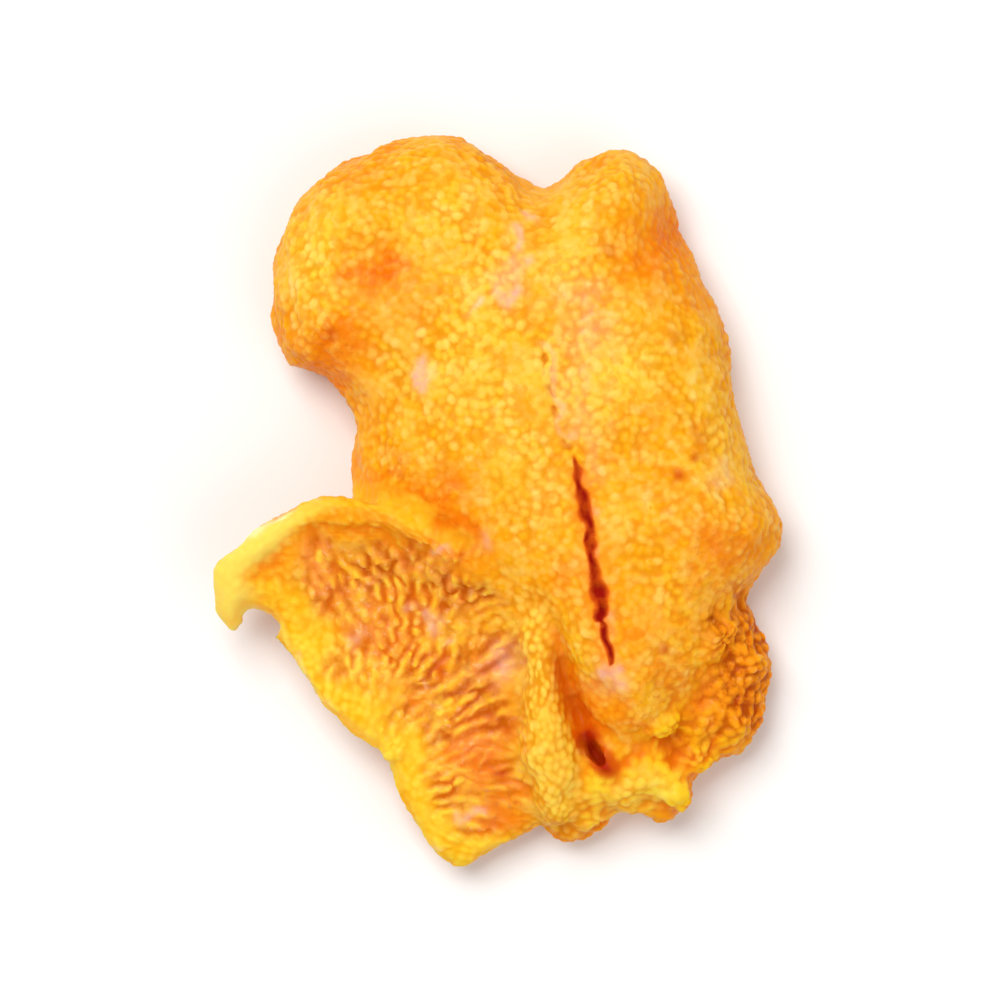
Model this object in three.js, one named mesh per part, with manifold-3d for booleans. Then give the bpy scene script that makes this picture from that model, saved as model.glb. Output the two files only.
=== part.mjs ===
// One torn lobe of sea urchin roe, lying on its flat underside. Millimetres, +Z up, +Y towards the
// heel of the lobe, +X to the right. The lobe is one solid: soft masses that have grown together, with
// a torn leaf that curls up at the left, a ridge beside it, and a slit and a crease along the middle.

import * as THREE from 'three';
import { mergeVertices } from 'three/addons/utils/BufferGeometryUtils.js';
import Module from 'manifold-3d';

const wasm = await Module();
wasm.setup();

// Driving dimensions.
const UNDERSIDE = 0; // height of the plane that the lobe rests on
const BODY_DOME = 5.2; // how far the main mass swells above the middle of its edge
const BODY_BELLY = 3.6; // and below it, before it is pressed flat
const BODY_SHOULDER = 4.4; // width of the rounding along its upper edge
const BODY_UNDERCUT = 4.6; // and along its lower edge
const TOE_DOME = 2.6;
const TOE_BELLY = 3.0;
const TOE_SHOULDER = 2.6;
const TOE_UNDERCUT = 3.4;
const LEAF_DOME = 1.1;
const LEAF_BELLY = 3.7;
const LEAF_SHOULDER = 1.2;
const LEAF_UNDERCUT = 5;
const MARGIN_RADIUS = 0.85; // of the rolled edge of the leaf
const RIDGE_HALF_WIDTH = 1.5;
const RIDGE_HALF_HEIGHT = 2.0;
const SLIT_HALF_WIDTH = 0.2;
const SLIT_HALF_DEPTH = 1.1;
const CREASE_HALF_WIDTH = 0.45;
const CREASE_HALF_DEPTH = 1.4;
const PIT_HALF_WIDTH = 0.5;
const PIT_HALF_DEPTH = 1.4;
const CROWN_SPREAD = 2.4; // width of the gentler rise above the shoulders, in shoulders
const SWELLING_HEIGHT = 0.3; // of the broad, irregular swellings on the larger masses
const COLOUR = '#f5a92c';

// The swellings of soft tissue are three waves that cross at unlike angles.
const SWELLINGS = [
  { length: 10.5, heading: 0.4, phase: 1.1, share: 0.45 },
  { length: 6.7, heading: 1.7, phase: 4.0, share: 0.33 },
  { length: 4.9, heading: 2.9, phase: 2.3, share: 0.22 },
];

function swelling(x, y) {
  let sum = 0;
  for (const { length, heading, phase, share } of SWELLINGS) {
    const along = x * Math.cos(heading) + y * Math.sin(heading);
    sum += share * Math.sin((2 * Math.PI * along) / length + phase);
  }
  return SWELLING_HEIGHT * sum;
}

function curveThrough(points, closed = false) {
  const places = points.map(([x, y, z]) => new THREE.Vector3(x, y, z));
  return new THREE.CatmullRomCurve3(places, closed, 'centripetal');
}

function toSolid(geometry) {
  const bare = geometry.clone();
  bare.deleteAttribute('normal');
  bare.deleteAttribute('uv');
  const merged = mergeVertices(bare, 1e-5);
  return new wasm.Manifold(new wasm.Mesh({
    numProp: 3,
    vertProperties: new Float32Array(merged.attributes.position.array),
    triVerts: new Uint32Array(merged.index.array),
  }));
}

// A sphere with its poles at the top and the bottom, every vertex moved by shapeVertex.
function reshapedSphere(sides, rings, shapeVertex) {
  const geometry = new THREE.SphereGeometry(1, sides, rings);
  geometry.rotateX(Math.PI / 2);
  const place = geometry.attributes.position;
  const at = new THREE.Vector3();
  for (let i = 0; i < place.count; i += 1) {
    at.fromBufferAttribute(place, i);
    shapeVertex(at);
    place.setXYZ(i, at.x, at.y, at.z);
  }
  return geometry;
}

// How far a place is from a closed line of points, in plan.
function distanceInPlan(x, y, line) {
  let least = Infinity;
  for (let i = 0; i < line.length; i += 1) {
    const a = line[i];
    const b = line[(i + 1) % line.length];
    const [dx, dy] = [b.x - a.x, b.y - a.y];
    const along = THREE.MathUtils.clamp(((x - a.x) * dx + (y - a.y) * dy) / (dx * dx + dy * dy), 0, 1);
    least = Math.min(least, Math.hypot(x - a.x - along * dx, y - a.y - along * dy));
  }
  return least;
}

// A quarter circle that rises from 0 at the edge to 1 at the given width, and stays there.
function rounding(distance, width) {
  const short = 1 - Math.min(1, distance / width);
  return Math.sqrt(1 - short * short);
}

// Round dents pressed into the top of a mass: [x, y, radius, depth].
function dented(x, y, dents) {
  let sum = 0;
  for (const [dentX, dentY, radius, depth] of dents) {
    const away = Math.hypot(x - dentX, y - dentY) / radius;
    sum += depth * Math.exp(-away * away);
  }
  return sum;
}

// A cushion: a soft mass with a closed edge, domed above and bellied below. The edge runs
// anticlockwise, each of its points with its own height, and the mass bends from the height of its
// heart to that of its edge. Shoulder and undercut are the widths of the rounding above and below its
// edge, and crowned is how much of the dome is a wider, gentler rise.
function cushion({
  edge, heart, dome, belly, shoulder, undercut, sides, rings, crowned = 0.2, bend = 2, dents = [],
}) {
  const rim = curveThrough(edge, true);
  const outline = rim.getSpacedPoints(sides * 2).slice(1);
  const middle = new THREE.Vector3(...heart);
  const geometry = reshapedSphere(sides, rings, (at) => {
    const reach = Math.min(1, Math.hypot(at.x, at.y));
    const turn = (Math.atan2(at.y, at.x) / (2 * Math.PI) + 1) % 1;
    const outer = rim.getPointAt(turn);
    const x = middle.x + (outer.x - middle.x) * reach;
    const y = middle.y + (outer.y - middle.y) * reach;
    const level = middle.z + (outer.z - middle.z) * reach ** bend;
    const inside = Math.abs(at.z) < 1e-6 ? 0 : distanceInPlan(x, y, outline);
    if (at.z > 0) {
      const crown = 1 - crowned + crowned * rounding(inside, shoulder * CROWN_SPREAD);
      const rise = dome * crown + swelling(x, y) - dented(x, y, dents);
      at.set(x, y, level + rise * rounding(inside, shoulder));
    } else {
      at.set(x, y, level - belly * rounding(inside, undercut));
    }
  });
  return toSolid(geometry);
}

// A strand: a round-ended bead along a path, level across. A low bluntness keeps its full size nearly
// to its ends, and growth above 1 makes it thicker towards its end than at its start.
function strand({ path, halfWidth, halfHeight, bluntness = 0.5, growth = 1, sides = 10, steps = 22 }) {
  const route = curveThrough(path);
  const geometry = reshapedSphere(sides, steps, (at) => {
    const along = THREE.MathUtils.clamp((1 - at.z) / 2, 0, 1);
    const centre = route.getPointAt(along);
    const heading = route.getTangentAt(along);
    const across = new THREE.Vector3(heading.y, -heading.x, 0).normalize();
    const thickness = THREE.MathUtils.lerp(1 / growth, growth, along);
    const swell = thickness * Math.hypot(at.x, at.y) ** bluntness;
    const turn = Math.atan2(at.y, at.x);
    at.copy(centre);
    at.addScaledVector(across, halfWidth * swell * Math.cos(turn));
    at.z += halfHeight * swell * Math.sin(turn);
  });
  return toSolid(geometry);
}

// A lobule: one small ragged knob on a margin.
function lobule([x, y, z], [length, width, height], heading) {
  const geometry = new THREE.SphereGeometry(1, 10, 7);
  geometry.rotateX(Math.PI / 2);
  geometry.scale(length / 2, width / 2, height / 2);
  geometry.rotateZ(heading);
  geometry.translate(x, y, z);
  return toSolid(geometry);
}

// The main mass. Its rounded heel at the upper left overhangs a notch in the side, a valley parts
// the heel from the upper right, and its lower edge stops above the toe.
function body() {
  return cushion({
    edge: [
      [16.3, -1.3, 3.0], [14.7, 1.6, 3.0], [13.6, 5.6, 3.2], [12.9, 9.9, 3.0], [11.6, 13.0, 2.8],
      [10.5, 15.6, 2.8], [9.9, 17.6, 2.9], [8.8, 19.4, 3.0], [7.0, 20.3, 3.0], [5.2, 19.8, 3.0],
      [3.8, 18.9, 3.0], [2.4, 18.0, 3.0], [0.4, 19.2, 3.2], [-2.8, 21.1, 3.2], [-7.4, 20.2, 3.0],
      [-11.2, 18.0, 3.0], [-12.9, 14.4, 3.0], [-13.1, 10.2, 3.0], [-12.4, 7.9, 3.0], [-10.2, 6.8, 3.0],
      [-8.7, 5.2, 3.0], [-8.5, 2.4, 3.2], [-8.2, -0.8, 3.4], [-5.2, -3.2, 3.4], [-2.2, -5.0, 3.2],
      [1.0, -7.8, 3.0], [3.6, -11.8, 2.8], [6.2, -14.6, 2.6], [9.6, -13.8, 2.6], [12.3, -10.4, 2.8],
      [13.7, -6.6, 3.0], [15.2, -4.2, 3.0],
    ],
    heart: [1.4, 4.6, 3.6],
    dome: BODY_DOME,
    belly: BODY_BELLY,
    shoulder: BODY_SHOULDER,
    undercut: BODY_UNDERCUT,
    crowned: 0.25,
    sides: 92,
    rings: 20,
    dents: [
      [-6.9, 13.4, 2.0, 0.8], [-6.4, 8.2, 2.6, 0.5], [9.8, 15.2, 1.9, 1.1], [4.6, 12.2, 2.2, 0.4],
      [2.4, 17.8, 2.2, 0.5], [9.4, 4.0, 2.4, 0.3], [10.2, -8.6, 2.2, 0.6],
    ],
  });
}

// The lower, coarser layer that shows below the main mass at the lower right.
function toe() {
  return cushion({
    edge: [
      [15.7, -8.6, 2.2], [13.8, -5.0, 2.6], [8.0, -4.0, 3.0], [3.0, -7.0, 3.0], [2.0, -14.0, 2.6],
      [2.4, -18.8, 2.2], [4.6, -19.8, 2.0], [7.0, -18.2, 2.2], [9.8, -18.5, 2.0], [11.8, -15.8, 2.2],
      [14.6, -14.2, 2.0], [15.6, -11.4, 2.2],
    ],
    heart: [8.0, -11.0, 2.8],
    dome: TOE_DOME,
    belly: TOE_BELLY,
    shoulder: TOE_SHOULDER,
    undercut: TOE_UNDERCUT,
    sides: 52,
    rings: 14,
  });
}

// The torn leaf at the lower left: a hollow sheet whose upper margin leans against the main mass.
function leaf() {
  return cushion({
    edge: [
      [3.2, -9.0, 5.6], [1.6, -5.4, 6.4], [-2.2, -3.0, 6.8], [-6.6, -0.8, 6.9], [-10.8, -0.2, 6.6],
      [-14.4, -2.0, 6.1], [-16.2, -4.2, 5.6], [-15.4, -5.8, 5.0], [-14.3, -6.2, 4.8], [-12.8, -7.0, 4.6],
      [-12.2, -8.5, 4.4], [-10.6, -11.5, 4.0], [-8.6, -13.1, 3.8], [-6.7, -14.6, 3.5], [-5.9, -16.3, 3.3],
      [-4.8, -18.7, 2.9], [-3.2, -20.8, 2.5], [-1.6, -21.0, 2.4], [0.4, -19.6, 2.4], [2.6, -18.4, 3.0],
      [3.2, -13.8, 4.6],
    ],
    heart: [-3.6, -10.4, 3.3],
    dome: LEAF_DOME,
    belly: LEAF_BELLY,
    shoulder: LEAF_SHOULDER,
    undercut: LEAF_UNDERCUT,
    crowned: 0,
    bend: 2,
    sides: 64,
    rings: 16,
  });
}

// The rolled margins of the leaf: the upper one ends in a tip that hangs down at the left.
function leafMargins() {
  const upper = strand({
    path: [
      [-0.6, -4.2, 6.9], [-3.6, -2.5, 7.3], [-7.2, -0.8, 7.3], [-11.2, -0.8, 6.9], [-14.1, -2.7, 6.3],
      [-15.3, -4.6, 5.5], [-15.4, -6.2, 4.8], [-15.2, -7.4, 4.2],
    ],
    halfWidth: MARGIN_RADIUS,
    halfHeight: MARGIN_RADIUS,
    bluntness: 0.4,
    growth: 1.4,
    sides: 12,
    steps: 28,
  });
  const lower = strand({
    path: [
      [-12.8, -7.3, 4.7], [-11.0, -8.8, 4.4], [-9.6, -10.9, 4.0], [-7.9, -12.4, 3.8], [-5.8, -13.9, 3.6],
      [-5.0, -15.8, 3.3], [-3.8, -18.3, 2.8], [-2.4, -20.0, 2.5], [-0.8, -20.0, 2.3],
    ],
    halfWidth: MARGIN_RADIUS * 1.5,
    halfHeight: MARGIN_RADIUS * 0.7,
    bluntness: 0.4,
    sides: 12,
    steps: 28,
  });
  return [upper, lower];
}

function ridge() {
  return strand({
    path: [[2.0, -5.2, 5.8], [2.2, -9.0, 5.5], [2.6, -13.0, 4.9], [3.1, -16.6, 4.0], [3.4, -18.9, 3.0]],
    halfWidth: RIDGE_HALF_WIDTH,
    halfHeight: RIDGE_HALF_HEIGHT,
    bluntness: 0.45,
    growth: 1.2,
    sides: 14,
  });
}

// Knobs along the torn margins, each with its own place, size and heading.
function lobules() {
  return [
    lobule([7.6, -16.3, 3.8], [3.8, 2.4, 3.0], 0.5),
    lobule([9.9, -16.6, 3.2], [3.0, 2.6, 3.0], -0.6),
    lobule([11.2, -14.6, 3.6], [3.2, 2.6, 2.8], 0.3),
    lobule([5.3, -18.3, 2.8], [3.0, 2.2, 2.8], 0.2),
    lobule([13.4, -12.6, 3.2], [3.2, 2.6, 3.0], 1.3),
    lobule([14.2, -9.4, 3.4], [3.0, 2.4, 2.8], 0.9),
    lobule([12.4, -8.0, 4.9], [3.6, 2.4, 3.0], 0.7),
    lobule([9.2, -13.0, 5.0], [3.2, 2.2, 2.6], 0.4),
    lobule([14.6, -2.3, 4.0], [2.6, 3.0, 2.8], 0.2),
    lobule([-6.0, -14.2, 4.1], [2.0, 1.6, 1.6], 0.7),
  ];
}

function slit() {
  return strand({
    path: [[3.9, 3.2, 8.9], [4.6, 0.8, 8.9], [5.1, -2.0, 8.7], [5.6, -5.0, 8.4], [6.2, -9.2, 7.6]],
    halfWidth: SLIT_HALF_WIDTH,
    halfHeight: SLIT_HALF_DEPTH,
    sides: 6,
    steps: 18,
  });
}

function crease() {
  return strand({
    path: [[3.0, -6.2, 7.4], [3.6, -9.2, 6.8], [4.4, -12.0, 5.8], [5.2, -14.0, 5.2]],
    halfWidth: CREASE_HALF_WIDTH,
    halfHeight: CREASE_HALF_DEPTH,
    bluntness: 1,
    sides: 8,
    steps: 14,
  });
}

function pit() {
  return strand({
    path: [[4.7, -13.2, 5.6], [5.3, -14.3, 5.2], [6.0, -15.2, 5.0]],
    halfWidth: PIT_HALF_WIDTH,
    halfHeight: PIT_HALF_DEPTH,
    bluntness: 0.9,
    sides: 10,
    steps: 8,
  });
}

// The space below the floor, which the soft underside can't enter.
function ground() {
  const reach = 80;
  const geometry = new THREE.BoxGeometry(reach, reach, reach);
  geometry.translate(0, 0, UNDERSIDE - reach / 2);
  return toSolid(geometry);
}

function wholeLobe() {
  let solid = body();
  for (const mass of [toe(), leaf(), ...leafMargins(), ridge(), ...lobules()]) {
    solid = solid.add(mass);
  }
  for (const hollow of [slit(), crease(), pit(), ground()]) {
    solid = solid.subtract(hollow);
  }
  const mesh = solid.getMesh();
  const geometry = new THREE.BufferGeometry();
  geometry.setAttribute('position', new THREE.BufferAttribute(mesh.vertProperties, 3));
  geometry.setIndex(new THREE.BufferAttribute(mesh.triVerts, 1));
  geometry.computeVertexNormals();
  return geometry;
}

const roe = new THREE.Mesh(
  wholeLobe(),
  new THREE.MeshStandardMaterial({ color: COLOUR, roughness: 0.35, metalness: 0 }),
);
roe.name = 'roe_lobe';

// The lobe stands over the middle of its own outline.
roe.geometry.computeBoundingBox();
const centre = roe.geometry.boundingBox.getCenter(new THREE.Vector3());
roe.position.set(-centre.x, -centre.y, -UNDERSIDE);

const lobe = new THREE.Group();
lobe.add(roe);

export default lobe;
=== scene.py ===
import math

import bmesh
import bpy
import numpy as np
from mathutils import Matrix, Vector, kdtree


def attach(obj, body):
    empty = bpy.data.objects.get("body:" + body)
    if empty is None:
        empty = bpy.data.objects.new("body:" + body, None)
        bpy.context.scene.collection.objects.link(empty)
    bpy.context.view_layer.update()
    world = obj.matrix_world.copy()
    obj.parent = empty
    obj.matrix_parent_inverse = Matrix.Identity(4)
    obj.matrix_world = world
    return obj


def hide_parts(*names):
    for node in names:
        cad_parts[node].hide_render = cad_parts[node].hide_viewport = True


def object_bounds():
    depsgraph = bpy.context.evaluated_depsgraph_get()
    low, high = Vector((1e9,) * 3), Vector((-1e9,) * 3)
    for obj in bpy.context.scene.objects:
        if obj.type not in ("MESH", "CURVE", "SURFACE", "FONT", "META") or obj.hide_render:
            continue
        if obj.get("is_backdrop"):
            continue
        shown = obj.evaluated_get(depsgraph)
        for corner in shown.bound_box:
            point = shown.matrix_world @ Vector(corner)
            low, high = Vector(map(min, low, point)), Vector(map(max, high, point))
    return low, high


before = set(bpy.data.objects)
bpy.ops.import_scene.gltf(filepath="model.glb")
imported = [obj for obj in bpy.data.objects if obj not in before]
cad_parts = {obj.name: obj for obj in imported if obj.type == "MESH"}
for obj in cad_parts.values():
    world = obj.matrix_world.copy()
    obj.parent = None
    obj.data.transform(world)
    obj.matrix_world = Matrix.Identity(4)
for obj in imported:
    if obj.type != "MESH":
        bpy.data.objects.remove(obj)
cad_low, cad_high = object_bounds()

# ---------------------------------------------------------------------------------------------
# The lobe of roe. It is one piece of soft tissue, a bag of tiny ripe follicles packed side by
# side, which show through the thin skin as grains. Inside the torn leaf they lie bare, drawn out
# into folds. Handling has torn it open, rolled its margins and left a slit down the middle.

MM = 0.001

# The even grid that its surface is divided into, how many times its facets are smoothed and the
# feet of its margins eased, and how many triangles are kept in the end.
VOXEL = 0.2
SMOOTHINGS = 20
EASINGS = 60
TRIANGLES = 196000

# Grains and folds, in millimetres: the pitch from one to the next, and how far the hollows
# between them go down. Sleek skin and wet films have the least relief.
GRAIN_PITCH = 0.52
GRAIN_DEPTH = 0.16
TOE_GRAIN_PITCH = 0.62
TOE_GRAIN_DEPTH = 0.2
FOLD_PITCH = 0.86
FOLD_DEPTH = 0.24
FOLD_GRAIN_DEPTH = 0.15
CRUMBLY_EXTRA_DEPTH = 0.08
SMOOTH_DEPTH = 0.04

# How far the openings are pressed down into the surface, and how far the bottom of the pit is
# lifted. The sides stand out a little, to make up for what the relief takes from them.
SLIT_PRESS = 0.25
GROOVE_PRESS = 0.2
CREASE_PRESS = 0.1
FURROW_PRESS = 0.12
PIT_LIFT = 0.3
SIDE_SWELL = 0.12

# Where things lie on the lobe, seen from above, in millimetres from its middle. The bare inside
# of the leaf and the toe are outlines, and the rest are lines along the middle of each thing.
FOLDS = [
    (-7.7, -1.6), (-4.7, -2.1), (-2.1, -3.0), (-1.1, -4.2), (-0.6, -6.8), (0.9, -8.6),
    (1.4, -11.0), (1.3, -14.2), (1.2, -18.2), (-0.8, -20.2), (-2.8, -19.6), (-4.4, -17.0),
    (-5.1, -14.6), (-6.7, -12.5), (-8.2, -10.7), (-9.3, -9.0), (-10.5, -6.9), (-12.2, -4.7),
    (-10.9, -2.5),
]
RIM = [
    (-15.4, -7.2), (-16.4, -5.8), (-16.5, -4.0), (-15.6, -2.5), (-13.6, -1.0), (-11.5, 0.1),
    (-9.5, 0.7), (-7.0, 0.4), (-4.6, -0.7), (-2.1, -2.4),
]
LOWER_EDGE = [
    (-14.4, -6.2), (-12.9, -6.9), (-12.3, -8.4), (-10.6, -11.6), (-8.6, -13.2), (-6.6, -14.7),
    (-6.0, -16.2), (-4.9, -18.7), (-3.3, -20.8), (-1.2, -21.0),
]
RIDGE = [(2.1, -5.6), (2.2, -9.5), (2.6, -12.6), (2.9, -15.4), (3.3, -19.2)]
GROOVE = [(2.3, 9.0), (2.9, 6.2), (3.9, 2.7)]
SLIT = [
    (4.2, 2.1), (4.4, 1.4), (4.7, -0.1), (5.0, -1.5), (5.2, -2.6), (5.3, -3.7), (5.5, -4.9),
    (5.7, -5.9), (5.7, -6.8), (5.9, -7.6), (6.2, -9.3),
]
CREASE = [(3.1, -7.2), (3.2, -8.8), (3.8, -10.8), (4.7, -12.6)]
PIT = [(4.8, -13.4), (5.4, -14.4), (6.0, -15.2)]
TOE = [
    (13.5, -5.2), (16.3, -7.2), (16.3, -12.8), (13.1, -15.2), (10.5, -19.0), (5.1, -20.4), (3.7, -18.8),
    (4.9, -15.8), (8.7, -13.8), (11.7, -10.4), (12.7, -7.2),
]


def along_line(places, line):
    """How far each place is from an open line in plan, and how far along the line that is, 0 to 1."""
    line = np.array(line)
    starts, steps = line[:-1], np.diff(line, axis=0)
    lengths = np.hypot(*steps.T)
    gaps = places[:, None, :2] - starts
    share = np.clip((gaps * steps).sum(2) / lengths ** 2, 0, 1)
    away = np.linalg.norm(gaps - share[..., None] * steps, axis=2)
    nearest = away.argmin(1)
    row = np.arange(len(places))
    travelled = (np.cumsum(lengths) - lengths)[nearest] + share[row, nearest] * lengths[nearest]
    return away[row, nearest], travelled / lengths.sum()


def within(places, outline):
    """How far inside a closed outline each place is in plan, negative outside."""
    away, _ = along_line(places, outline + outline[:1])
    x, y = places[:, 0], places[:, 1]
    inside = np.zeros(len(places), bool)
    for (ax, ay), (bx, by) in zip(outline, outline[1:] + outline[:1]):
        crosses = (ay > y) != (by > y)
        reached = ax + (y - ay) * (bx - ax) / (by - ay if by != ay else 1)
        inside ^= crosses & (x < reached)
    return np.where(inside, away, -away)


def ramp(values, low, high):
    """0 below low, 1 above high, and an even S between."""
    share = np.clip((values - low) / (high - low), 0, 1)
    return share * share * (3 - 2 * share)


def ripple(places, size, seed, waves=16):
    """A smooth random field about 1 high either way, with swellings of about the given size."""
    draw = np.random.default_rng(seed)
    total = np.zeros(len(places))
    for _ in range(waves):
        heading = draw.normal(size=3)
        heading /= np.linalg.norm(heading)
        length = 2 * size * draw.uniform(0.7, 1.5)
        total += np.sin(places @ heading * (2 * math.pi / length) + draw.uniform(0, 2 * math.pi))
    return total / math.sqrt(waves / 2)


def shifted(places, reach, size, seeds):
    """The places in plan, each moved by a smooth random step, so that no mark has a ruled edge."""
    return places[:, :2] + reach * np.stack([ripple(places, size, seed) for seed in seeds], 1)


def spots(places, marks):
    """The sum of round soft marks, each (x, y, radius, strength)."""
    total = np.zeros(len(places))
    for x, y, radius, strength in marks:
        total += strength * np.exp(-((places[:, 0] - x) ** 2 + (places[:, 1] - y) ** 2) / radius ** 2)
    return total


def streaks(places, marks):
    """The sum of soft strokes, each (x, y, x, y, half width, strength)."""
    total = np.zeros(len(places))
    for x0, y0, x1, y1, half_width, strength in marks:
        away, _ = along_line(places, [(x0, y0), (x1, y1)])
        total += strength * np.exp(-(away / half_width) ** 2)
    return total


def hollowness(places, reach):
    """How far each place lies below the middling height of the top around it, in millimetres."""
    step = 0.25
    cells = ((places[:, :2] - places[:, :2].min(0) + 3 * reach) / step).astype(int)
    shape = cells.max(0) + int(3 * reach / step)
    top = np.zeros(shape)
    np.maximum.at(top, tuple(cells.T), places[:, 2])
    waves = np.hypot(np.fft.fftfreq(shape[0], step)[:, None], np.fft.fftfreq(shape[1], step))
    veil = np.exp(-2 * (math.pi * waves * reach) ** 2)
    spread, share = (np.fft.ifft2(np.fft.fft2(layer) * veil).real for layer in (top, top > 0))
    return (spread / np.maximum(share, 0.05))[tuple(cells.T)] - places[:, 2]


def read(mesh, kind):
    """The "co" or the "normal" of each of a mesh's points, one a row."""
    values = np.empty(len(mesh.vertices) * 3, np.float32)
    mesh.vertices.foreach_get(kind, values)
    return values.reshape(-1, 3).astype(float)


def place_points(mesh, places):
    mesh.vertices.foreach_set("co", places.astype(np.float32).ravel())


def applied(piece):
    """The piece with its modifiers made part of its mesh."""
    ready = piece.evaluated_get(bpy.context.evaluated_depsgraph_get())
    mesh = bpy.data.meshes.new_from_object(ready)
    piece.modifiers.clear()
    piece.data = mesh
    mesh.name = piece.name
    return piece


def without_crumbs(mesh):
    """Deletes every loose part of a mesh but the largest."""
    shape = bmesh.new()
    shape.from_mesh(mesh)
    unseen = set(shape.verts)
    parts = []
    while unseen:
        part, reached = [], [unseen.pop()]
        while reached:
            vertex = reached.pop()
            part.append(vertex)
            beside = {edge.other_vert(vertex) for edge in vertex.link_edges} & unseen
            unseen -= beside
            reached.extend(beside)
        parts.append(part)
    parts.sort(key=len)
    for crumb in parts[:-1]:
        bmesh.ops.delete(shape, geom=crumb, context="VERTS")
    shape.to_mesh(mesh)
    shape.free()


def fine_copy(node, name):
    """A smooth, finely divided copy of a solid's mesh, in millimetres."""
    piece = bpy.data.objects.new(name, node.data.copy())
    bpy.context.scene.collection.objects.link(piece)
    piece.data.transform(Matrix.Scale(1 / MM, 4))
    weld = piece.modifiers.new("weld", "WELD")
    weld.merge_threshold = 0.0005
    remesh = piece.modifiers.new("even grid", "REMESH")
    remesh.mode = "VOXEL"
    remesh.voxel_size = VOXEL
    # Smoothing in and then back out takes off the facets and keeps the size.
    for label, factor in (("soften", 0.5), ("swell back", -0.51)):
        smooth = piece.modifiers.new(label, "SMOOTH")
        smooth.factor = factor
        smooth.iterations = SMOOTHINGS
    divide = piece.modifiers.new("divide", "SUBSURF")
    divide.levels = divide.render_levels = 1
    return applied(piece)


def regions(places, normals):
    """How much of each kind of surface there is at each place, 0 to 1."""
    wobble = 0.35 * ripple(places, 1.6, seed=5)
    up = ramp(normals[:, 2], -0.15, 0.35)
    not_under = ramp(normals[:, 2], -0.5, 0.2)
    # The rolled margin of the leaf, widest at its lip, and the band of skin along its foot.
    rim_away, rim_along = along_line(places, RIM)
    rim_width = np.interp(rim_along, [0, 0.3, 0.5, 0.7, 1], [2.0, 1.9, 1.3, 0.9, 0.6])
    from_rim = rim_away / rim_width + 0.3 * wobble
    rim = (1 - ramp(from_rim, 0.8, 1.3)) * ramp(normals[:, 2], -0.5, 0.3)
    rim_foot = np.exp(-((rim_away - rim_width - 0.3) / 0.8) ** 2)
    band = (1 - ramp(rim_away - rim_width + wobble, 1.2, 2.4)) * up
    # Where a painted highlight goes along the crest of the margin, from its lip part way along.
    bright = (1 - ramp(from_rim, 0.8, 1.5)) * (1 - ramp(rim_along, 0.36, 0.66)) * not_under
    # The ridge between the leaf and the body widens towards the toe.
    ridge_away, ridge_along = along_line(places, RIDGE)
    ridge_width = 0.7 + 1.1 * ridge_along
    ridge = (1 - ramp(ridge_away / ridge_width + 0.4 * wobble, 0.7, 1.25)) * up
    ridge_foot = np.exp(-((ridge_away - ridge_width - 0.1) / 0.55) ** 2)
    crease_side = np.exp(-((along_line(places, CREASE)[0] - 0.9) / 0.7) ** 2)
    lower, _ = along_line(places, LOWER_EDGE)
    folds = ramp(within(places, FOLDS) + 2 * wobble, -1.4, 2.0) * up
    toe = ramp(within(places, TOE) + wobble, -0.8, 0.8) * ramp(normals[:, 2], -0.6, 0.0)
    return {
        "up": up,
        "folds": folds * (1 - ridge),
        "rim": rim,
        "feet": np.clip(rim_foot + 0.75 * ridge_foot + 0.75 * crease_side, 0, 1) * up,
        "sleek": rim * (1 - 0.75 * ramp(rim_along, 0.45, 0.75)),
        "bright": bright,
        "band": band * (1 - rim) * ramp(within(places, FOLDS), -3.0, -1.6),
        "lower": (1 - ramp(lower + wobble, 1.4, 2.8)) * up * (1 - rim),
        "edge": (1 - ramp(lower, 0.1, 0.6)) * not_under,
        "ridge": ridge,
        "toe": toe * (1 - ridge),
    }


def eased(mesh, places, share, rounds):
    """The places, each moved again and again by its share towards the middle of its neighbours."""
    ends = np.empty(len(mesh.edges) * 2, np.int32)
    mesh.edges.foreach_get("vertices", ends)
    first, second = ends.reshape(-1, 2).T
    count = np.bincount(ends, minlength=len(places))
    for _ in range(rounds):
        middle = np.stack([
            np.bincount(first, places[second, axis], len(places))
            + np.bincount(second, places[first, axis], len(places))
            for axis in range(3)
        ], 1) / count[:, None]
        places = places + share[:, None] * (middle - places)
    return places


def fold_turn(places, region):
    """Which way the folds run: upright at the top of the leaf, swinging round to level at its foot."""
    turn = np.clip(83 + 6 * places[:, 1] - 8 * places[:, 0], -8, 108)
    turn = turn + 10 * ripple(places, 2.5, seed=11)
    return np.where(region["folds"] > 0.05, np.radians(turn), 2.5 * ripple(places, 2.2, seed=12))


def on_surface(turn, normals):
    """The direction, along the surface, of a turn seen from above."""
    heading = np.stack([np.cos(turn), np.sin(turn), np.zeros(len(turn))], 1)
    heading -= normals * (heading * normals).sum(1)[:, None]
    return heading / np.maximum(np.linalg.norm(heading, axis=1), 1e-6)[:, None]


def scatter(places, gap, heading, stretch, seed, tries):
    """The rows of places no closer than the gap across the heading, and than its stretch along it."""
    draw = np.random.default_rng(seed)
    order = draw.permutation(len(places))[:tries]
    least = gap * draw.uniform(0.75, 1.2, len(places))
    kept = np.empty((len(order), 3))
    rows = []
    for i in order:
        between = kept[:len(rows)] - places[i]
        along = between @ heading[i]
        reach = (between ** 2).sum(1) - along ** 2 * (1 - 1 / stretch[i] ** 2)
        if not rows or reach.min() >= least[i] ** 2:
            kept[len(rows)] = places[i]
            rows.append(i)
    return np.array(rows)


def nearest(places, seeds, count):
    """The rows of the seeds nearest to each place."""
    tree = kdtree.KDTree(len(seeds))
    for n, seed in enumerate(seeds):
        tree.insert(seed, n)
    tree.balance()
    return np.array([[hit[1] for hit in tree.find_n(place, count)] for place in places])


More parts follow.
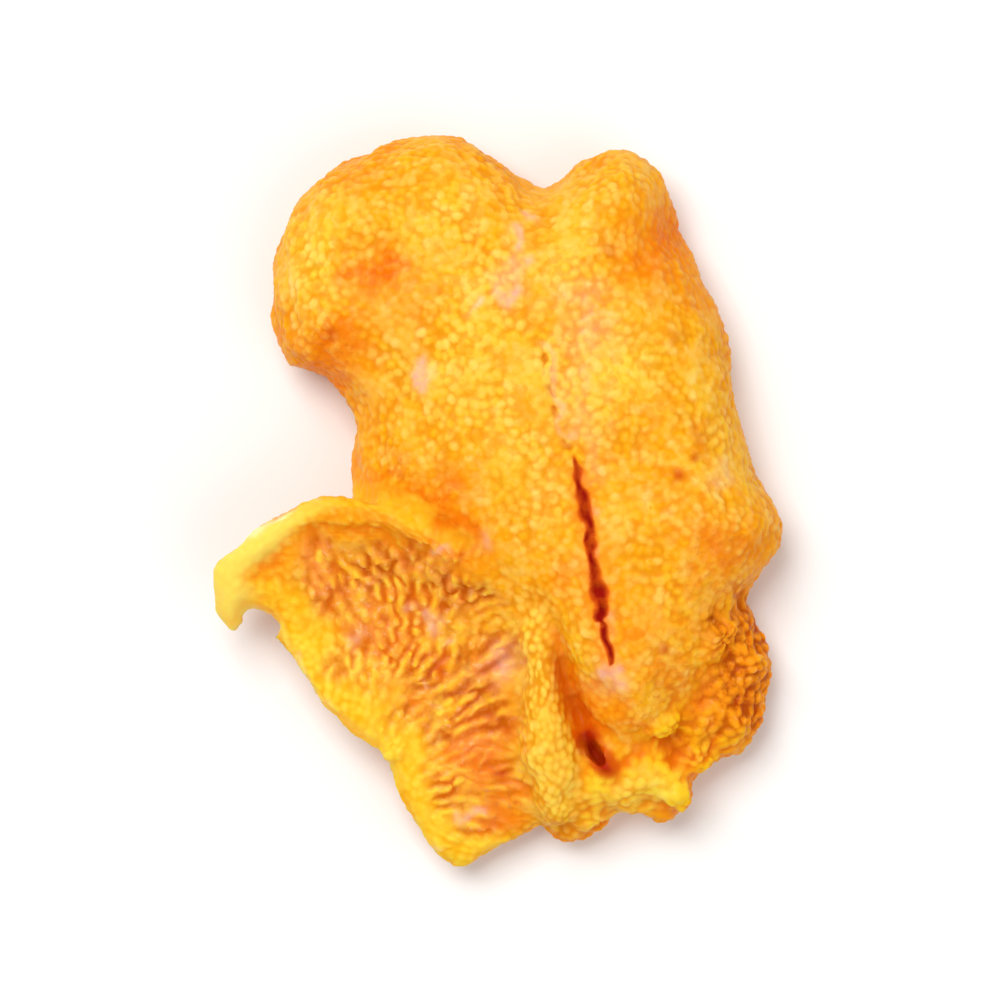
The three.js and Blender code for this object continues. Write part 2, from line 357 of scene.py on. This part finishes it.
def grains(places, normals, region, seed):
    """Soft round grains: their relief, 0 in the hollows to 1 on top, and a tone of its own for each."""
    draw = np.random.default_rng(seed)
    pitch = GRAIN_PITCH + (TOE_GRAIN_PITCH - GRAIN_PITCH) * region["toe"]
    heading = on_surface(fold_turn(places, region), normals)
    stretch = 1.25 + 0.5 * region["folds"]
    rows = scatter(places, 0.8 * pitch, heading, stretch, seed, tries=90000)
    found = nearest(places, places[rows], 9)
    gap = places[:, None] - places[rows][found]
    along = (gap * heading[rows][found]).sum(2)
    reach = (gap ** 2).sum(2) - along ** 2 * (1 - 1 / stretch[rows][found] ** 2)
    reach /= pitch[rows][found] ** 2
    # Each grain is a dome. They meet in soft hollows, and some stand higher than others.
    height = draw.uniform(0.6, 1.0, len(rows))[found]
    softness = 0.1
    relief = np.log(np.exp((height - 2.0 * reach) / softness).sum(1)) * softness
    share = np.exp(-reach / 0.14)
    tone = (share * draw.normal(0, 1, len(rows))[found]).sum(1) / np.maximum(share.sum(1), 1e-6)
    return np.clip((relief - 0.15) / 0.85, 0, 1), tone


def folds(places, normals, region, seed):
    """Folds that run over the leaf, fork and end: their relief, 0 in the hollows to 1 on top."""
    draw = np.random.default_rng(seed)
    relief = np.zeros(len(places))
    inside = np.flatnonzero(region["folds"] > 0.01)
    near, facing = places[inside], normals[inside]
    turn = fold_turn(near, {"folds": np.ones(len(near))})
    even = np.ones(len(near))
    order = 0.6 + 0.4 * ramp(-near[:, 1], 7, 13)
    rows = scatter(near, 0.5 * even, on_surface(turn, facing), even, seed, tries=16000)
    found = nearest(near, near[rows], 14)
    stray = draw.normal(0, 1, len(rows)) * (0.62 - 0.36 * order[rows])
    across = on_surface(turn[rows] + math.pi / 2 + stray, facing[rows])
    wave = 2 * math.pi / (FOLD_PITCH * draw.uniform(0.7, 1.5, len(rows)))
    phase = draw.uniform(0, 2 * math.pi, len(rows))
    gap = near[:, None] - near[rows][found]
    swing = wave[found] * (gap * across[found]).sum(2) + phase[found]
    share = np.exp(-(gap ** 2).sum(2) / (0.48 + 0.24 * order[rows][found]) ** 2)
    total = (share * np.exp(1j * swing)).sum(1)
    relief[inside] = (0.5 + 0.5 * np.cos(np.angle(total))) * np.clip(np.abs(total) / 0.5, 0.25, 1)
    return relief


lobe = fine_copy(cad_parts["roe_lobe"], "roe_lobe_skin")
places, normals = read(lobe.data, "co"), read(lobe.data, "normal")
# The rolled margin and the ridge run into the leaf in soft curves.
places = eased(lobe.data, places, regions(places, normals)["feet"], EASINGS)
place_points(lobe.data, places)
lobe.data.update()
normals = read(lobe.data, "normal")
region = regions(places, normals)

# Narrow openings waver a little, and the wider marks on the skin stray further.
wavering = shifted(places, 0.08, 0.6, seeds=(41, 42))
straying = shifted(places, 0.3, 0.9, seeds=(43, 44))

# The openings: how far each place is into the slit, its orange sides, the broken groove above it,
# the crease beside the ridge and the pit at its end. The slit swells and narrows along its length,
# and skin all but bridges it near its lower end.
slit_away, slit_along = along_line(wavering, SLIT)
slit_width = np.interp(
    slit_along,
    [0, 0.05, 0.11, 0.18, 0.3, 0.5, 0.6, 0.68, 0.76, 0.8, 0.85, 0.93, 1],
    [0.15, 0.3, 0.21, 0.34, 0.27, 0.27, 0.28, 0.35, 0.33, 0.05, 0.22, 0.28, 0.1],
)
in_slit = np.exp(-(slit_away / slit_width) ** 2) * region["up"]
slit_side = np.exp(-(slit_away / (0.35 + slit_width)) ** 2) * region["up"] * ramp(slit_along, 0, 0.05)
groove_away, _ = along_line(wavering, GROOVE)
in_groove = np.exp(-(groove_away / 0.22) ** 2) * region["up"]
in_groove *= ramp(ripple(places, 0.35, seed=45), -0.3, 0.9)
crease_away, crease_along = along_line(wavering, CREASE)
in_crease = np.exp(-(crease_away / (0.35 + 0.25 * crease_along)) ** 2) * region["up"]
pit_away, _ = along_line(wavering, PIT)
in_pit = np.exp(-(pit_away / 0.65) ** 2)
# Short furrows where a fold of the bare leaf has parted from the next.
furrows = streaks(straying, [
    (-2.2, -11.0, -0.7, -9.8, 0.24, 0.8), (-5.4, -5.8, -4.7, -5.0, 0.2, 0.7),
    (-6.3, -9.1, -5.7, -8.6, 0.2, 0.6), (-1.7, -11.9, -0.7, -11.4, 0.2, 0.6),
    (-0.9, -8.2, -0.5, -7.8, 0.2, 0.5), (-3.8, -9.8, -2.5, -9.6, 0.25, 0.5),
    (-4.6, -4.0, -4.2, -3.2, 0.2, 0.6), (-0.6, -17.1, 1.0, -17.0, 0.2, 0.6),
])

# Films of pale membrane that cling to the skin, most of them along the middle and in the leaf. Their
# pinkish colour is partly a painted reflection.
film = spots(straying, [
    (6.2, -10.3, 0.75, 1.6), (0.5, 11.9, 0.6, 1.1), (-1.3, 10.9, 0.4, 1.0), (5.2, 9.3, 1.3, 0.35),
    (12.8, 1.5, 0.7, 0.5), (5.4, -0.4, 0.3, 0.7), (5.6, -3.0, 0.25, 0.7), (5.9, -7.2, 0.35, 0.9),
    (4.8, 11.2, 1.3, 0.3), (-0.2, -9.6, 0.9, 0.7), (-1.0, -2.1, 0.5, 0.6), (-3.4, -3.3, 0.35, 0.9),
    (-4.0, -6.9, 0.35, 0.7), (-5.0, -6.2, 0.35, 0.5), (-8.2, -8.0, 0.4, 0.6), (-3.2, -8.4, 0.35, 0.6),
    (0.9, 13.1, 0.5, 0.5),
])
film += streaks(straying, [
    (1.3, 15.9, 1.0, 14.1, 0.34, 1.1), (-4.6, 7.7, -4.7, 6.7, 0.5, 1.1),
    (2.7, 8.4, 3.5, 5.2, 0.3, 0.6), (3.6, 4.9, 4.2, 3.0, 0.25, 0.5),
    (4.4, 7.2, 5.5, 1.6, 0.7, 0.25), (-2.2, -17.9, -0.8, -18.6, 0.25, 0.8),
])
film = np.clip(film, 0, 1) * region["up"] * (1 - in_slit)

# The crumbly side, where the right margin has broken up.
crumbly = spots(straying, [
    (14.6, -7.4, 2.0, 1.0), (13.8, -11.0, 2.0, 1.0), (15.6, -12.0, 2.0, 0.8), (11.6, -13.4, 1.4, 0.5),
    (13.1, -7.2, 1.2, 0.5),
])
crumbly = np.clip(crumbly, 0, 1) * (1 - region["folds"])

# Low lumps, a few grains wide, and highest on the toe and down the sides.
steep = 1 - np.abs(normals[:, 2])
rough = 0.09 + 0.15 * region["toe"] + 0.05 * region["folds"] + 0.07 * region["ridge"]
rough += 0.04 * region["rim"]
rough += 0.06 * steep
rough *= 1 - in_pit
knobs = ripple(places, 1.2, seed=22)
lumps = rough * (0.55 * ripple(places, 2.6, seed=21) + 0.45 * knobs - 1)

# The grains stand out less where the skin over them is thick or sleek, and in the openings.
grain, tone = grains(places, normals, region, seed=31)
veil = np.clip(0.88 + 0.22 * ripple(places, 1.6, seed=47), 0.68, 1)
smooth = 0.7 * region["sleek"] + 0.5 * region["edge"] + 0.15 * region["lower"] + 0.5 * film
smooth = np.clip(smooth + in_slit + in_pit + 0.4 * in_crease, 0, 1)
depth = GRAIN_DEPTH + (TOE_GRAIN_DEPTH - GRAIN_DEPTH) * region["toe"]
depth *= veil + (1 - veil) * np.clip(region["toe"] + region["folds"], 0, 1)
depth += CRUMBLY_EXTRA_DEPTH * crumbly
depth += region["folds"] * (FOLD_GRAIN_DEPTH - depth)
depth += smooth * (SMOOTH_DEPTH - depth)

# The folds are made of grains too, and stand out more in some places than in others.
fold = folds(places, normals, region, seed=33)
strength = np.clip(0.85 + 0.25 * ripple(places, 1.3, seed=46), 0.65, 1)
fold = 1 - strength * (1 - fold * (0.55 + 0.45 * grain))
high = SIDE_SWELL * steep + lumps + depth * (grain - 1) + FOLD_DEPTH * region["folds"] * (fold - 1)

# How far each place lies below what is around it, which also sets painted shade in the hollows. The dip
# at the foot of the rolled margin is partly filled, and the margin's painted highlight keeps to its
# crest.
hollow = hollowness(places, 1.3)
crest = 1 - ramp(hollow, 0.0, 0.35) * ramp(within(places, FOLDS), -3.2, -2.6)

# All of this moves the surface, but for the flat underside that it rests on. Then the openings are
# pressed straight down, the lip is drawn in to a point, and nothing is left outside the solid's box.
loose = ramp(places[:, 2], 0.02, 0.5)
places += normals * (high * loose)[:, None]
places[:, 2] += 0.5 * region["band"] * np.clip(hollow, 0, 1)
pressed = SLIT_PRESS * in_slit + GROOVE_PRESS * in_groove + CREASE_PRESS * in_crease
places[:, 2] -= pressed + FURROW_PRESS * furrows - PIT_LIFT * in_pit
lip_x, lip_y = -15.4, -7.5
tip = spots(places, [(lip_x, lip_y, 0.9, 0.6)])
places[:, 0] -= tip * (places[:, 0] - lip_x)
lowest, highest = np.array(cad_low) / MM, np.array(cad_high) / MM
places = np.clip(places, lowest, highest)
place_points(lobe.data, places)

# Where its colours differ: blood red specks; deeper orange patches, partly painted shade in dents,
# hollows and under the rolled margin; yellow patches, partly painted light, most of all on the slopes
# of the toe; mottling; and painted highlights along the crest and outer edge of the margin.
red = spots(places, [
    (10.1, 1.4, 0.35, 1.0), (11.0, 2.4, 0.3, 0.9), (6.1, 14.1, 0.5, 0.5), (9.9, 9.3, 0.4, 0.5),
    (9.3, -8.5, 0.35, 0.8), (-9.6, 9.5, 0.4, 0.8), (0.0, -15.7, 0.45, 0.8), (0.5, -13.3, 0.35, 0.8),
    (-6.7, -6.8, 0.35, 0.7), (-6.8, -2.5, 0.3, 0.7), (-5.0, -2.5, 0.35, 0.7), (-2.2, -3.1, 0.3, 0.6),
])
red += streaks(places, [(11.0, 4.0, 11.7, 2.8, 0.35, 0.5)])
deep_orange_and_shade = spots(straying, [
    (-6.6, 13.1, 1.0, 1.0), (-5.6, 11.6, 1.6, 0.5), (-9.5, 7.8, 2.2, 0.8), (9.7, 15.6, 2.0, 0.9),
    (8.4, 13.2, 1.6, 0.6), (11.8, 11.8, 1.6, 0.5), (6.6, -12.6, 1.8, 0.4), (12.6, -12.4, 1.6, 0.5),
    (12.7, -3.4, 2.2, 0.5), (8.0, -7.4, 1.8, 0.4), (3.4, -4.6, 1.4, 0.4), (-2.6, -1.4, 1.2, 0.6),
    (-8.0, 18.6, 1.6, 0.5), (13.2, -9.6, 2.6, 0.3), (-2.9, 0.3, 0.9, 0.5), (-2.8, -14.5, 0.7, 0.8),
    (-1.2, -14.8, 0.6, 0.7), (-4.4, -11.5, 0.5, 0.6), (-3.1, -9.7, 0.6, 0.5), (7.3, -15.2, 0.9, 0.6),
])
deep_orange_and_shade += streaks(straying, [
    (-8.6, 1.6, -4.4, 0.4, 0.6, 0.6), (-4.4, 0.4, -1.2, -2.0, 0.5, 0.4),
    (4.6, -10.6, 5.3, -12.6, 0.7, 0.6), (-14.2, 13.5, -13.4, 9.0, 0.8, 0.5),
    (-8.9, 13.0, -7.0, 13.3, 0.5, 0.7),
])
yellow_and_painted_light = spots(places, [
    (-10.6, 13.4, 2.4, 0.7), (-1.0, 7.2, 3.2, 0.6), (7.2, 7.6, 2.6, 0.7), (1.0, 2.4, 2.4, 0.5),
    (3.4, 14.8, 2.4, 0.4), (7.0, -16.9, 1.3, 1.0), (5.8, -18.2, 1.0, 0.8), (-4.0, 15.8, 2.2, 0.4),
    (1.6, -10.0, 0.9, 1.0), (1.6, -15.0, 1.1, 0.8), (2.6, -17.6, 1.0, 0.9), (8.3, -17.0, 1.2, 0.9),
    (-5.7, -15.3, 0.9, 1.0), (-3.6, -19.0, 0.8, 0.9), (-2.6, -20.4, 0.8, 0.8), (-9.2, -6.6, 0.6, 0.6),
    (-8.6, -9.3, 1.0, 0.9), (-7.0, -10.6, 0.5, 0.6), (-6.1, -14.2, 0.5, 1.0), (9.6, -9.3, 1.4, 0.6),
    (5.4, 4.6, 1.0, 0.5), (0.9, -7.4, 0.9, 0.6), (8.8, -16.4, 1.2, 0.9), (-9.9, -9.0, 1.1, 0.7),
])
mottle = spots(places, [
    (11.0, -9.6, 3.0, 0.5), (12.6, -3.6, 3.0, 0.8), (8.6, -12.4, 2.6, 0.8), (-9.7, 8.8, 2.2, 1.0),
    (-3.0, 0.6, 1.6, 0.8), (-6.2, 1.4, 1.5, 0.8), (0.6, -17.6, 1.8, 0.9), (-0.6, -15.6, 1.4, 0.6),
    (4.2, -19.4, 1.6, 0.8), (-7.0, 13.0, 1.5, 0.7),
])
edge_highlight = streaks(straying, [
    (-16.6, -3.6, -15.2, -1.8, 0.3, 0.7), (-15.2, -1.8, -12.8, -0.3, 0.35, 0.9),
    (-12.8, -0.3, -11.0, 0.3, 0.3, 0.5), (-11.8, -9.2, -10.5, -11.6, 0.3, 0.3),
    (-5.0, -18.9, -3.6, -20.6, 0.3, 0.4),
])
# The painted highlight along the margin's crest and outer edge, and painted shade where the surface
# turns down, which the margins are mostly spared.
bright = region["bright"] * crest + 0.75 * region["edge"] * ramp(places[:, 1], -15, -12)
margins = np.clip(region["rim"] + region["lower"] + region["edge"], 0, 1)
shade = (1 - ramp(normals[:, 2], -0.2, 0.65)) * (1 - 0.8 * margins)
skin_relief = 1 - veil * (1 - grain)
fold_relief = np.clip(1.1 * fold + 0.1 * grain, 0, 1)

# The mesh carries each of these to the material, the masks of painted shade, light and highlights among
# them.
for name, values in {
    "relief": skin_relief * (1 - region["folds"]) + region["folds"] * fold_relief,
    "tone": tone,
    "knobs": ramp(knobs, -1.2, 1.2),
    "folds": region["folds"],
    "rim": region["rim"],
    "bright": np.clip(bright, 0, 1),
    "edge_highlight": np.clip(edge_highlight, 0, 1),
    "band": region["band"],
    "lower": region["lower"],
    "ridge": region["ridge"],
    "toe": region["toe"],
    "slit": in_slit,
    "slit side": slit_side,
    "crease": np.clip(
        in_crease * ramp(crease_along, 0.0, 0.5) + 0.6 * in_groove + 0.8 * furrows, 0, 1
    ),
    "pit": in_pit,
    "film": film,
    "red": np.clip(red, 0, 1) * region["up"],
    "deep_orange_and_shade": np.clip(deep_orange_and_shade, 0, 1),
    "yellow_and_painted_light": np.clip(yellow_and_painted_light, 0, 1) * region["up"],
    "shade": shade,
    "mottle": np.clip(mottle, 0, 1),
    "foot": ramp(-places[:, 1], 14, 17) * ramp(-places[:, 0], 0.5, 3.0),
    "crumbly": crumbly,
    "hollow": ramp(hollow, -0.1, 0.9) * ramp(normals[:, 2], 0.35, 0.85),
    "dip": ramp(hollowness(places, 0.6), 0.02, 0.3) * (1 - in_slit) * (1 - in_pit),
}.items():
    carried = lobe.data.attributes.new(name, "FLOAT", "POINT")
    carried.data.foreach_set("value", values.astype(np.float32))

# The flat underside gives up its triangles first, as it needs none.
thin = lobe.modifiers.new("thin out", "DECIMATE")
thin.ratio = min(1.0, TRIANGLES / (2 * len(lobe.data.polygons)))
applied(lobe)
without_crumbs(lobe.data)
place_points(lobe.data, np.clip(read(lobe.data, "co"), lowest, highest))
lobe.data.transform(Matrix.Scale(MM, 4))
lobe.data.shade_smooth()


class Wire:
    """One output socket of a material's nodes, on which arithmetic can be written."""

    tree = None

    def __init__(self, socket):
        self.socket = socket

    @classmethod
    def node(cls, kind, settings, sockets, output=0):
        """Makes a node: its settings first, then the values or links of its sockets."""
        made = cls.tree.nodes.new(kind)
        for name, value in settings.items():
            setattr(made, name, value)
        for name, value in sockets.items():
            if isinstance(value, Wire):
                cls.tree.links.new(value.socket, made.inputs[name])
            else:
                made.inputs[name].default_value = value
        return cls(made.outputs[output])

    @staticmethod
    def maths(operation, first, second):
        """What a Math node makes of two values."""
        return Wire.node("ShaderNodeMath", {"operation": operation}, {0: first, 1: second})

    def __add__(self, other):
        return Wire.maths("ADD", self, other)

    __radd__ = __add__

    def __mul__(self, other):
        return Wire.maths("MULTIPLY", self, other)

    __rmul__ = __mul__

    def __sub__(self, other):
        return Wire.maths("SUBTRACT", self, other)

    def __rsub__(self, other):
        return Wire.maths("SUBTRACT", other, self)

    def clamped(self, low=0.0, high=1.0):
        return Wire.node("ShaderNodeClamp", {}, {"Value": self, "Min": low, "Max": high})

    def steps(self, low, high):
        """0 below low, 1 above high, and an even S between."""
        return Wire.node(
            "ShaderNodeMapRange",
            {"interpolation_type": "SMOOTHSTEP"},
            {"Value": self, "From Min": low, "From Max": high},
        )


def field(name):
    """A value that the mesh carries at each of its points."""
    return Wire.node("ShaderNodeAttribute", {"attribute_name": name}, {}, "Fac")


def mixed(share, first, second):
    """A colour between two others. The Mix node's colours are its sockets 6 and 7, and its result 2."""
    return Wire.node("ShaderNodeMix", {"data_type": "RGBA"}, {0: share, 6: first, 7: second}, 2)


def colour(*shown):
    """A colour given as a screen shows its red, green and blue, 0 to 255."""
    channels = [c / 255 for c in shown]
    light = [c / 12.92 if c < 0.04045 else ((c + 0.055) / 1.055) ** 2.4 for c in channels]
    return (*light, 1.0)


def noise(size, detail=3.0, roughness=0.5, shift=0.0):
    """Cloudy noise, 0 to 1, with its coarsest cells the given number of millimetres wide."""
    place = Wire.node("ShaderNodeTexCoord", {}, {}, "Object")
    moved = Wire.node("ShaderNodeVectorMath", {"operation": "ADD"}, {0: place, 1: (shift,) * 3})
    return Wire.node("ShaderNodeTexNoise", {}, {
        "Vector": moved,
        "Scale": 1 / (size * MM),
        "Detail": detail,
        "Roughness": roughness,
    })


def new_material(name):
    """A material, on which the next wires are made, and its shader."""
    material = bpy.data.materials.new(name)
    material.use_nodes = True
    Wire.tree = material.node_tree
    return material, material.node_tree.nodes["Principled BSDF"]


tissue, tissue_shader = new_material("roe_tissue")
relief = field("relief")
patches = noise(6.0, 3.0, 0.55)
clouds = noise(2.2, 3.0, 0.6, 0.2)
flecks = noise(1.0, 2.0, 0.5, 0.3)
fine = noise(0.45, 3.0, 0.6, 0.1)

# The thin skin over the grains: golden, paler on top of each grain as a painted highlight and a deeper
# gold in between as painted shade.
golden = mixed(patches.steps(0.38, 0.62), colour(248, 176, 16), colour(251, 190, 34))
golden = mixed(field("yellow_and_painted_light") * 0.8, golden, colour(252, 212, 72))
golden = mixed((field("tone") * 0.17 + 0.1).clamped(), golden, colour(255, 222, 126))
golden = mixed(relief.steps(0.5, 1.0) * 0.2, golden, colour(254, 214, 124))
golden = mixed(flecks.steps(0.56, 0.72) * 0.25, golden, colour(255, 220, 124))
furrow_shade = mixed((field("yellow_and_painted_light") + clouds - 0.5).clamped(), colour(234, 152, 8), colour(230, 170, 22))
skin = mixed((relief * 1.5 + (fine - 0.5) * 1.1 + 0.16).clamped(), furrow_shade, golden)
skin = mixed(flecks.steps(0.48, 0.34) * 0.5, skin, colour(240, 150, 6))
skin = mixed(clouds.steps(0.52, 0.75) * 0.42, skin, colour(242, 154, 8))

# Inside the leaf: orange brown between the folds, as painted shade, and golden on their backs, with
# pinkish painted highlights. Then the mottling, which is on the leaf and the skin alike.
fold_back = mixed(clouds.steps(0.4, 0.6), colour(252, 184, 40), colour(244, 156, 66))
fold_back = mixed(field("yellow_and_painted_light") * 0.8, fold_back, colour(255, 212, 66))
fold_back = mixed(fine.steps(0.52, 0.72) * 0.5, fold_back, colour(252, 206, 160))
fold_back = mixed(flecks.steps(0.5, 0.62) * 0.45, fold_back, colour(255, 206, 70))
fold_back = mixed((field("tone") * 0.5).clamped() * 0.8, fold_back, colour(255, 206, 60))
fold_back = mixed(field("foot") * 0.45, fold_back, colour(255, 206, 60))
crevice_shade = mixed(patches.steps(0.4, 0.6), colour(200, 88, 0), colour(222, 112, 6))
bare = mixed((relief * 1.3 + (fine - 0.5) * 0.9 - 0.1).clamped(), crevice_shade, fold_back)
skin = mixed(field("folds"), skin, bare)
skin = mixed(clouds.steps(0.44, 0.6) * field("mottle") * 0.75, skin, colour(236, 126, 2))
skin = mixed(fine.steps(0.5, 0.66) * field("mottle") * 0.5, skin, colour(206, 92, 0))

# The coarser layer below, and the ridge and the margins of the leaf, each painted darker in its hollows
# and paler on its tops, as shade and highlight.
toe_top = mixed(field("yellow_and_painted_light"), colour(255, 204, 16), colour(255, 226, 52))
toe_share = (relief * 0.9 + field("knobs") * 0.7 + (fine - 0.5) * 0.7 - 0.15).clamped()
toe_skin = mixed(toe_share, colour(226, 106, 2), toe_top)
skin = mixed(field("toe") * 0.8 * (1 - field("yellow_and_painted_light") * 0.7), skin, toe_skin)
ridge_skin = mixed((relief * 1.7 - 0.35).clamped(), colour(226, 150, 10), colour(254, 210, 76))
skin = mixed(field("ridge") * (clouds * 0.8 + 0.2).clamped(), skin, ridge_skin)
# A band of painted shade, saturated orange, along the foot of the rolled margin.
skin = mixed(field("band") * (0.85 - 0.4 * relief), skin, colour(253, 160, 14))
margin_share = (relief * 1.1 + (flecks - 0.5) * 1.6 - 0.1).clamped()
margin = mixed(margin_share, colour(253, 192, 20), colour(255, 214, 60))
skin = mixed(field("lower") * (clouds * 0.4 + 0.6).clamped(), skin, margin)
skin = mixed(field("rim") * 0.7, skin, colour(254, 190, 28))
# Painted highlights, pale yellow and creamy white, along the crest and the outer edge of the margin.
bright_share = field("bright") * (0.55 + 0.5 * clouds + 0.2 * relief).clamped()
skin = mixed(bright_share, skin, colour(252, 221, 97))
skin = mixed(field("edge_highlight") * 0.7, skin, colour(255, 246, 190))

# Painted shade: orange in small low places, most of all on the toe and along the foot of the rolled
# margin.
dip_shade = (0.15 + 0.5 * field("toe") + 0.35 * field("band") - 0.4 * field("yellow_and_painted_light")).clamped()
dip_shade = field("dip") * dip_shade * (1 - field("folds")) * (1 - field("rim"))
skin = mixed(dip_shade, skin, colour(230, 108, 0))

# Painted shade, a deeper orange, where it turns down or lies low. Then deeper orange patches, partly
# its own colour and partly painted shade in dents, hollows and under the rolled margin.
turned_shade = mixed(relief.clamped(), colour(228, 112, 0), colour(250, 160, 12))
skin = mixed(field("shade") * 0.6, skin, turned_shade)
hollow_shade = field("hollow") * 0.6 * (1 - 0.6 * field("folds") - 0.6 * field("yellow_and_painted_light")).clamped()
skin = mixed(hollow_shade, skin, colour(248, 138, 4))
skin = mixed(field("deep_orange_and_shade") * (1.15 - 0.5 * relief).clamped(), skin, colour(242, 122, 0))
skin = mixed(field("deep_orange_and_shade").steps(0.4, 0.9) * fine.steps(0.5, 0.62) * 0.3, skin, colour(216, 92, 0))

# The crumbly side, orange brown, with painted shade low between its crumbs and small pale painted
# highlights on them.
crumb_share = (relief * 1.5 + (fine - 0.5) * 2.2 - 0.25).clamped()
crumbs = mixed(crumb_share, colour(182, 70, 0), colour(246, 152, 18))
crumbs = mixed(fine.steps(0.58, 0.74) * 0.5, crumbs, colour(248, 186, 112))
skin = mixed(field("crumbly") * 0.9, skin, crumbs)

# Pinkish film, its colour partly a painted reflection, and blood red specks. Then the openings, with
# painted shade in the crease, the groove, the furrows and the pit, and dark red at their core, partly
# painted shade.
film_and_reflection = mixed(fine.steps(0.35, 0.65), colour(255, 200, 150), colour(238, 182, 172))
skin = mixed(field("film") * 0.7, skin, film_and_reflection)
skin = mixed(field("red") * 0.85, skin, colour(204, 68, 6))
skin = mixed(field("crease") * 0.8, skin, colour(206, 82, 2))
skin = mixed(field("pit").steps(0.1, 0.6) * 0.85, skin, colour(206, 78, 2))
skin = mixed(field("pit").steps(0.5, 1.0), skin, colour(166, 36, 2))
core = mixed(flecks.steps(0.42, 0.6), colour(158, 14, 4), colour(190, 62, 4))
skin = mixed(field("slit side") * (clouds + 0.1).clamped(), skin, colour(246, 134, 34))
skin = mixed(field("slit").steps(0.0, 0.45) * 0.85, skin, colour(222, 82, 8))
skin = mixed(field("slit").steps(0.15, 0.95), skin, core)

# The finish: moist, wettest on the films, and dull in the slit. Light goes a millimetre or so into
# the tissue, and its red goes deepest.
finest = noise(0.2, 4.0, 0.6)
bumps = Wire.node("ShaderNodeBump", {}, {"Strength": 0.3, "Distance": 0.05 * MM, "Height": finest})
wet = (0.42 + 0.45 * field("slit") - 0.2 * field("film") - 0.12 * fine).clamped(0.15, 0.95)
glaze = (0.02 + 0.3 * field("film") + 0.06 * field("folds") - 0.2 * field("slit")).clamped()
for name, value in {
    "Subsurface Weight": 0.7,
    "Subsurface Radius": (1.0, 0.2, 0.05),
    "Subsurface Scale": 1.4 * MM,
    "Coat Roughness": 0.25,
    "IOR": 1.36,
    "Specular IOR Level": 0.09,
}.items():
    tissue_shader.inputs[name].default_value = value
for name, wire in {"Base Color": skin, "Roughness": wet, "Coat Weight": glaze, "Normal": bumps}.items():
    Wire.tree.links.new(wire.socket, tissue_shader.inputs[name])
lobe.data.materials.clear()
lobe.data.materials.append(tissue)

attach(lobe, "root")
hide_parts("roe_lobe")

# ---------------------------------------------------------------------------------------------
# The studio: a plain pale table top, one large soft lamp above and to the upper left, a weaker
# one across from it, and even white light from all round. The camera looks straight down.

FLOOR_HALF_WIDTH = 1.5
VIEW_WIDTH = 58 * MM

floor_mesh = bpy.data.meshes.new("floor")
floor_shape = bmesh.new()
bmesh.ops.create_grid(floor_shape, x_segments=2, y_segments=2, size=FLOOR_HALF_WIDTH)
floor_shape.to_mesh(floor_mesh)
floor_shape.free()
floor = bpy.data.objects.new("floor", floor_mesh)
bpy.context.scene.collection.objects.link(floor)
table, table_shader = new_material("pale_table")
table_shader.inputs["Base Color"].default_value = colour(246, 245, 243)
table_shader.inputs["Roughness"].default_value = 0.7
floor.data.materials.append(table)
floor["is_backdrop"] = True


def lamp(name, place, size, power):
    """A square soft lamp that faces the lobe: its place and size in metres, its power in watts."""
    light = bpy.data.lights.new(name, "AREA")
    light.size, light.energy = size, power
    holder = bpy.data.objects.new(name, light)
    holder.location = place
    holder.rotation_euler = (-Vector(place)).to_track_quat("-Z", "Y").to_euler()
    bpy.context.scene.collection.objects.link(holder)


lamp("key", place=(-0.17, 0.22, 0.55), size=0.36, power=2.95)
lamp("fill", place=(0.34, -0.26, 0.45), size=0.5, power=0.9)

world = bpy.data.worlds.new("studio")
world.use_nodes = True
sky = world.node_tree.nodes["Background"]
sky.inputs["Color"].default_value = (1, 1, 1, 1)
sky.inputs["Strength"].default_value = 0.42
bpy.context.scene.world = world
bpy.context.scene.view_settings.view_transform = "Standard"

# A long lens, so that the view from above is nearly flat.
camera_data = bpy.data.cameras.new("camera")
camera_data.lens = 200
camera_data.clip_start = 0.01
camera = bpy.data.objects.new("camera", camera_data)
camera.location = (0, 0, VIEW_WIDTH * camera_data.lens / camera_data.sensor_width)
bpy.context.scene.collection.objects.link(camera)
bpy.context.scene.camera = camera

low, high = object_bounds()
